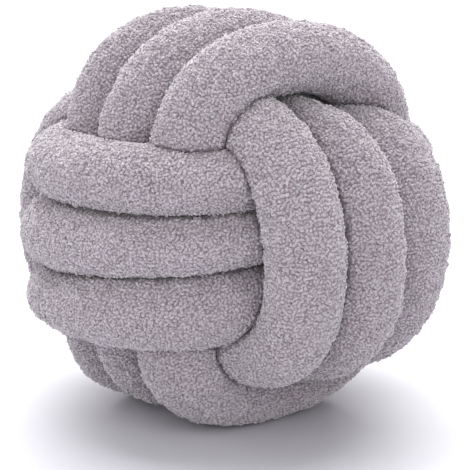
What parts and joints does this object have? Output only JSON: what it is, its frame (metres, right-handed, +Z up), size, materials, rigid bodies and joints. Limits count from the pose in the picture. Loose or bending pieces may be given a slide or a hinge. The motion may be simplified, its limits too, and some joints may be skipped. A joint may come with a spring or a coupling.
{
  "type": "knot cushion",
  "caption": "Round knot cushion: one long stuffed tube of looped-pile cloth tied into a ball, its turns crossing over and under each other, with a small flat spot to sit on.",
  "frame": {"origin": "on the surface that the cushion stands on, under the middle of its outline", "axes": "+Z up; the turns that lie level are outermost on the -Y side, and those that stand upright are outermost on the +X side"},
  "size_m": [0.3266, 0.3034, 0.2826],
  "materials": {
    "looped_pile_cloth": "soft looped pile, matt, pale greyish mauve"
  },
  "bodies": {
    "root": {"knotted_tube": "looped_pile_cloth"}
  },
  "joints": []
}
